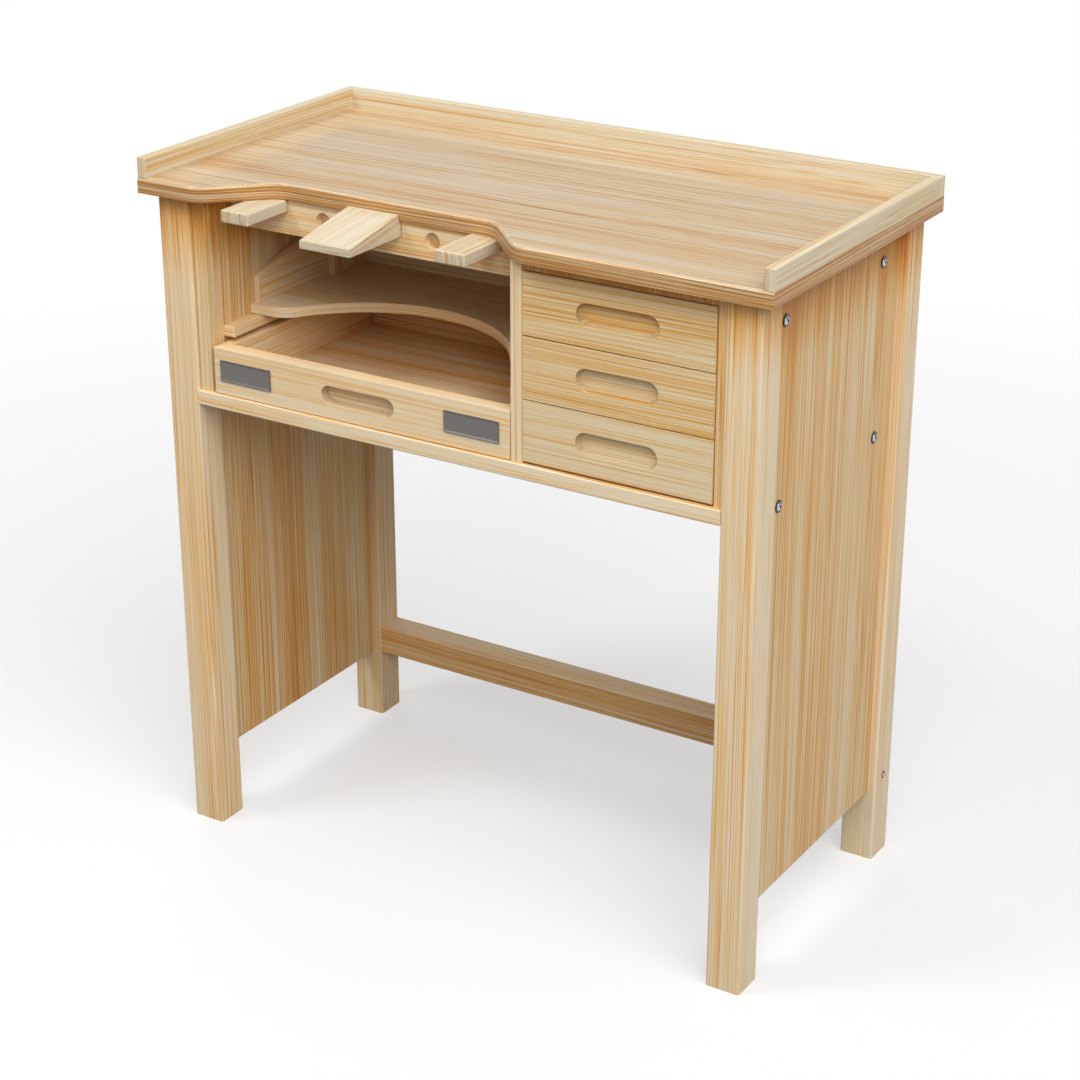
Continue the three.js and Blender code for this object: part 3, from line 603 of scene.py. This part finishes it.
low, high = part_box("tray_floor")
centre = (low.x + high.x) / 2
arch_y = low.y + ARCH_DEPTH - ARCH_RADIUS
rise = low.y + ARCH_EASE - arch_y
reach = math.sqrt((ARCH_RADIUS + ARCH_EASE) ** 2 - rise ** 2)
spring = math.atan2(rise, reach)
bm = bmesh.new()
drawn = outline(bm, (low.x, low.y), (centre - reach, low.y),
                (centre - reach, low.y + ARCH_EASE, math.pi / 2 - spring),
                (centre, arch_y, 2 * spring - math.pi),
                (centre + reach, low.y + ARCH_EASE, math.pi / 2 - spring),
                (high.x, low.y), (high.x, high.y), (low.x, high.y))
bmesh.ops.translate(bm, verts=drawn, vec=(0, 0, low.z))
raise_face(bm, bm.faces.new(drawn), high.z - low.z)
rounded(bm, [e for e in arrises(bm, shortest=0) if abs(e.verts[0].co.z - e.verts[1].co.z) < 1e-6], TRAY_ARRIS)
lay_grain(bm, "tray_floor", X, rim=0.0, deeper=TRAY_DEEPER)
fitted(bm, "tray_floor_board", pine, "tray", "lacquered_wood", "tray_floor")

# Catch drawer: a wide shallow box under the tray that catches filings. Its thick front has a deeper finger pull and
# two small bare metal plates, each pressed with a raised frame that slopes in to a flat field.
CATCH_PULL_HEIGHT = 0.0245
CATCH_PULL_DEPTH = 0.015
CATCH_PULL_FILLET = 0.002
CATCH_ARRIS = 0.001
CATCH_DEEPER = -0.15
CATCH_BOX_PAINTED_SHADE = 0.2
PLATE_LENGTH = 0.080
PLATE_HEIGHT = 0.028
PLATE_ABOVE = 0.0186
PLATE_ENDS = {"left": 0.011, "right": 0.0151}
PLATE_THICK = 0.0018
PLATE_EDGE = 0.0006
PLATE_FRAME = 0.002
PLATE_HOLLOW = 0.0014
PLATE_CREASE = 20
catch_pine = wood("catch_drawer_pine", LEG_SHADES, tone=0.4, contrast=0.65)
pulled_front("catch_drawer_front", catch_pine, PULL_LENGTH, CATCH_PULL_HEIGHT, CATCH_PULL_DEPTH, CATCH_PULL_FILLET,
             CATCH_DEEPER)
# The box's sides, back and bottom are toned deeper, as painted shade inside the drawer.
for part, along in (("left_side", Y), ("right_side", Y), ("back", X), ("bottom", X)):
    board(f"catch_drawer_{part}", along, pine, CATCH_ARRIS, deeper=CATCH_BOX_PAINTED_SHADE)

plate_steel = plated_steel("plate_steel", (110, 105, 102), (118, 113, 110), 0.3, 0.34, (20, 900, 900))
low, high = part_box("catch_drawer_front")
for side, end in PLATE_ENDS.items():
    left = low.x + end if side == "left" else high.x - end - PLATE_LENGTH
    middle = Vector((left + PLATE_LENGTH / 2, low.y - PLATE_THICK / 2, low.z + PLATE_ABOVE + PLATE_HEIGHT / 2))
    size = Vector((PLATE_LENGTH, PLATE_THICK, PLATE_HEIGHT))
    bm = bmesh.new()
    bmesh.ops.create_cube(bm, matrix=Matrix.LocRotScale(middle, None, size))
    field = min(bm.faces, key=lambda f: f.calc_center_median().y)
    bmesh.ops.inset_region(bm, faces=[field], thickness=PLATE_EDGE, use_even_offset=True)
    bmesh.ops.inset_region(bm, faces=[field], thickness=PLATE_FRAME, use_even_offset=True)
    bmesh.ops.translate(bm, verts=field.verts, vec=(0, PLATE_HOLLOW, 0))
    fitted(bm, f"{side}_drawer_plate", plate_steel, "catch_drawer", "bright_steel", crease=PLATE_CREASE)

# Table top: one wide glued-up board under the glossiest lacquer. Its front edge swings in to a scoop where the
# worker sits, and the whole front arris is rounded over. The sawn edges have drunk more lacquer and are browner.
SCOOP_CENTRE = -0.121
SCOOP_FLAT = 0.290
SCOOP_DEPTH = 0.0725
SCOOP_RADIUS = 0.040
TOP_ARRIS = 0.004
TOP_EDGE = 0.0006
TOP_EDGE_STAIN = 0.75
TOP_SHADES = ((204, 190, 166), (201, 176, 138), (197, 153, 92), (170, 114, 59))
top_pine = wood("table_pine", TOP_SHADES, tone=0.44, coat=0.7, gloss=0.06)
eighth = math.pi / 4
low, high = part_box("table_top")
run = SCOOP_DEPTH - 2 * SCOOP_RADIUS * (1 - math.cos(eighth)) + 2 * SCOOP_RADIUS * math.sin(eighth)
shift = SCOOP_RADIUS * math.cos(eighth)
hollow = low.y + SCOOP_DEPTH - SCOOP_RADIUS
outer = low.y + SCOOP_RADIUS
flat_left = SCOOP_CENTRE - SCOOP_FLAT / 2
flat_right = SCOOP_CENTRE + SCOOP_FLAT / 2
bm = bmesh.new()
drawn = outline(bm, (low.x, low.y), (flat_left - run, low.y), (flat_left - run, outer, eighth),
                (flat_left - shift, hollow + shift), (flat_left, hollow, -eighth),
                (flat_right, low.y + SCOOP_DEPTH), (flat_right, hollow, -eighth),
                (flat_right + run - shift, outer - shift), (flat_right + run, outer, eighth),
                (high.x, low.y), (high.x, high.y), (low.x, high.y))
bmesh.ops.translate(bm, verts=drawn, vec=(0, 0, low.z))
raise_face(bm, bm.faces.new(drawn), high.z - low.z)
scoop_back = low.y + SCOOP_DEPTH + 1e-4
front_top = [e for e in bm.edges if all(v.co.z > high.z - 1e-6 and v.co.y < scoop_back for v in e.verts)]
rounded(bm, front_top, TOP_ARRIS, 5)
rounded(bm, [e for e in arrises(bm, shortest=0.3) if all(v.co.z < low.z + 1e-6 for v in e.verts)], TOP_EDGE)
lay_grain(bm, "table_top", X, rim=TOP_EDGE_STAIN)
fitted(bm, "table_top_board", top_pine, "frame", "lacquered_wood", "table_top")

# Gallery: three upright strips of paler wood, glued along the table's left, right and back edges, so that nothing
# rolls off. Their feet are left square, so that no groove shows on the table.
GALLERY_ARRIS = 0.0008
GALLERY_SHADES = ((219, 209, 186), (215, 197, 160), (211, 174, 115), (196, 140, 76))
gallery_pine = wood("gallery_pine", GALLERY_SHADES, tone=0.28, contrast=0.8, coat=0.3, gloss=0.1)


def upper_arrises(bm):
    """All the arrises but those at the foot of the piece."""
    foot = min(v.co.z for v in bm.verts) + 1e-4
    return [e for e in arrises(bm) if max(v.co.z for v in e.verts) > foot]


for name, along, deeper in (("left", Y, -0.05), ("right", Y, 0.3), ("back", X, -0.1)):
    board(f"{name}_gallery_rail", along, gallery_pine, GALLERY_ARRIS, edges=upper_arrises, deeper=deeper)

# Studio: a white floor that fades into a white horizon, under a cool grey sky. A very large soft lamp stands behind
# the camera on the right, one hangs overhead and a weak one lights the back. The camera stands where the photograph
# was taken from.
FLOOR_SIZE = 120
FLOOR_BOUNCE = 0.2
FLOOR_WHITE = 0.43
FLOOR_GLOW = 0.465
FLOOR_FADE = (1.0, 2.8)
HORIZON = (0.97, 0.97, 0.97, 1)
SKY = (0.32, 0.32, 0.325, 1)
SKY_START = (0.04, 0.22)
LAMPS = {
    "key": ((3.76, -2.94, 5.72), 7.6, 566),
    "left_light": ((-2.15, -2.39, 4.43), 1.6, 85),
    "back_fill": ((-2.6, 2.2, 3.6), 2.0, 20),
}
LAMP_AIM = Vector((0, 0, 0.6))
SEEN_BY = ("Camera", "Glossy", "Transmission")
CAMERA_PLACE = (1.6002, -2.54535, 1.7514)
CAMERA_AZIMUTH = 31.90
CAMERA_ELEVATION = 23.47
CAMERA_LENS = 82.82
SENSOR = 36


def grey(level):
    return (level, level, level, 1)


bm = bmesh.new()
bmesh.ops.create_grid(bm, x_segments=1, y_segments=1, size=FLOOR_SIZE / 2)
mesh = bpy.data.meshes.new("floor")
bm.to_mesh(mesh)
bm.free()
white = Finish(bpy.data.materials.new("white_floor"), "Principled BSDF", {
    "Roughness": 0.9,
    "Specular IOR Level": 0.0,
    "Emission Strength": 1.0,
})
rays = [white.node("LightPath", {}, output=f"Is {kind} Ray") for kind in SEEN_BY]
seen = rays[0] + rays[1] + rays[2]
spot = white.node("TexCoord", {}, output="Object")
far = white.ramp(white.node("VectorMath", {0: spot}, output="Value", operation="LENGTH"), *FLOOR_FADE, "SMOOTHSTEP")
painted = white.blend(far, grey(FLOOR_WHITE), grey(0))
glowing = white.blend(far, grey(FLOOR_GLOW), grey(1))
white.feed(white.shader, {
    "Base Color": white.blend(seen, grey(FLOOR_BOUNCE), painted),
    "Emission Color": white.blend(seen, grey(0), glowing),
})
mesh.materials.append(white.owner)
floor = bpy.data.objects.new("floor", mesh)
bpy.context.scene.collection.objects.link(floor)

sky = Finish(bpy.data.worlds.new("studio_sky"), "Background", {"Strength": 1.0})
direction = sky.node("TexCoord", {}, output="Generated")
height = sky.node("SeparateXYZ", {0: direction}, output="Z")
glimpses = [sky.node("LightPath", {}, output=f"Is {kind} Ray") for kind in SEEN_BY]
clear = sky.ramp(height, *SKY_START, "SMOOTHSTEP")
bright = glimpses[0] + (glimpses[1] + glimpses[2]) * (1 - clear)
sky.feed(sky.shader, {"Color": sky.blend(bright, SKY, HORIZON)})
bpy.context.scene.world = sky.owner

for name, (place, size, power) in LAMPS.items():
    lamp = bpy.data.lights.new(name, "AREA")
    lamp.shape = "DISK"
    lamp.size = size
    lamp.energy = power
    stand = bpy.data.objects.new(name, lamp)
    bpy.context.scene.collection.objects.link(stand)
    stand.location = place
    stand.visible_camera = False
    stand.rotation_euler = (LAMP_AIM - Vector(place)).to_track_quat("-Z", "Y").to_euler()

lens = bpy.data.cameras.new("camera")
lens.lens = CAMERA_LENS
lens.sensor_width = SENSOR
camera = bpy.data.objects.new("camera", lens)
bpy.context.scene.collection.objects.link(camera)
camera.location = CAMERA_PLACE
camera.rotation_euler = (math.radians(90 - CAMERA_ELEVATION), 0, math.radians(CAMERA_AZIMUTH))
bpy.context.scene.camera = camera
bpy.context.scene.view_settings.view_transform = "Standard"
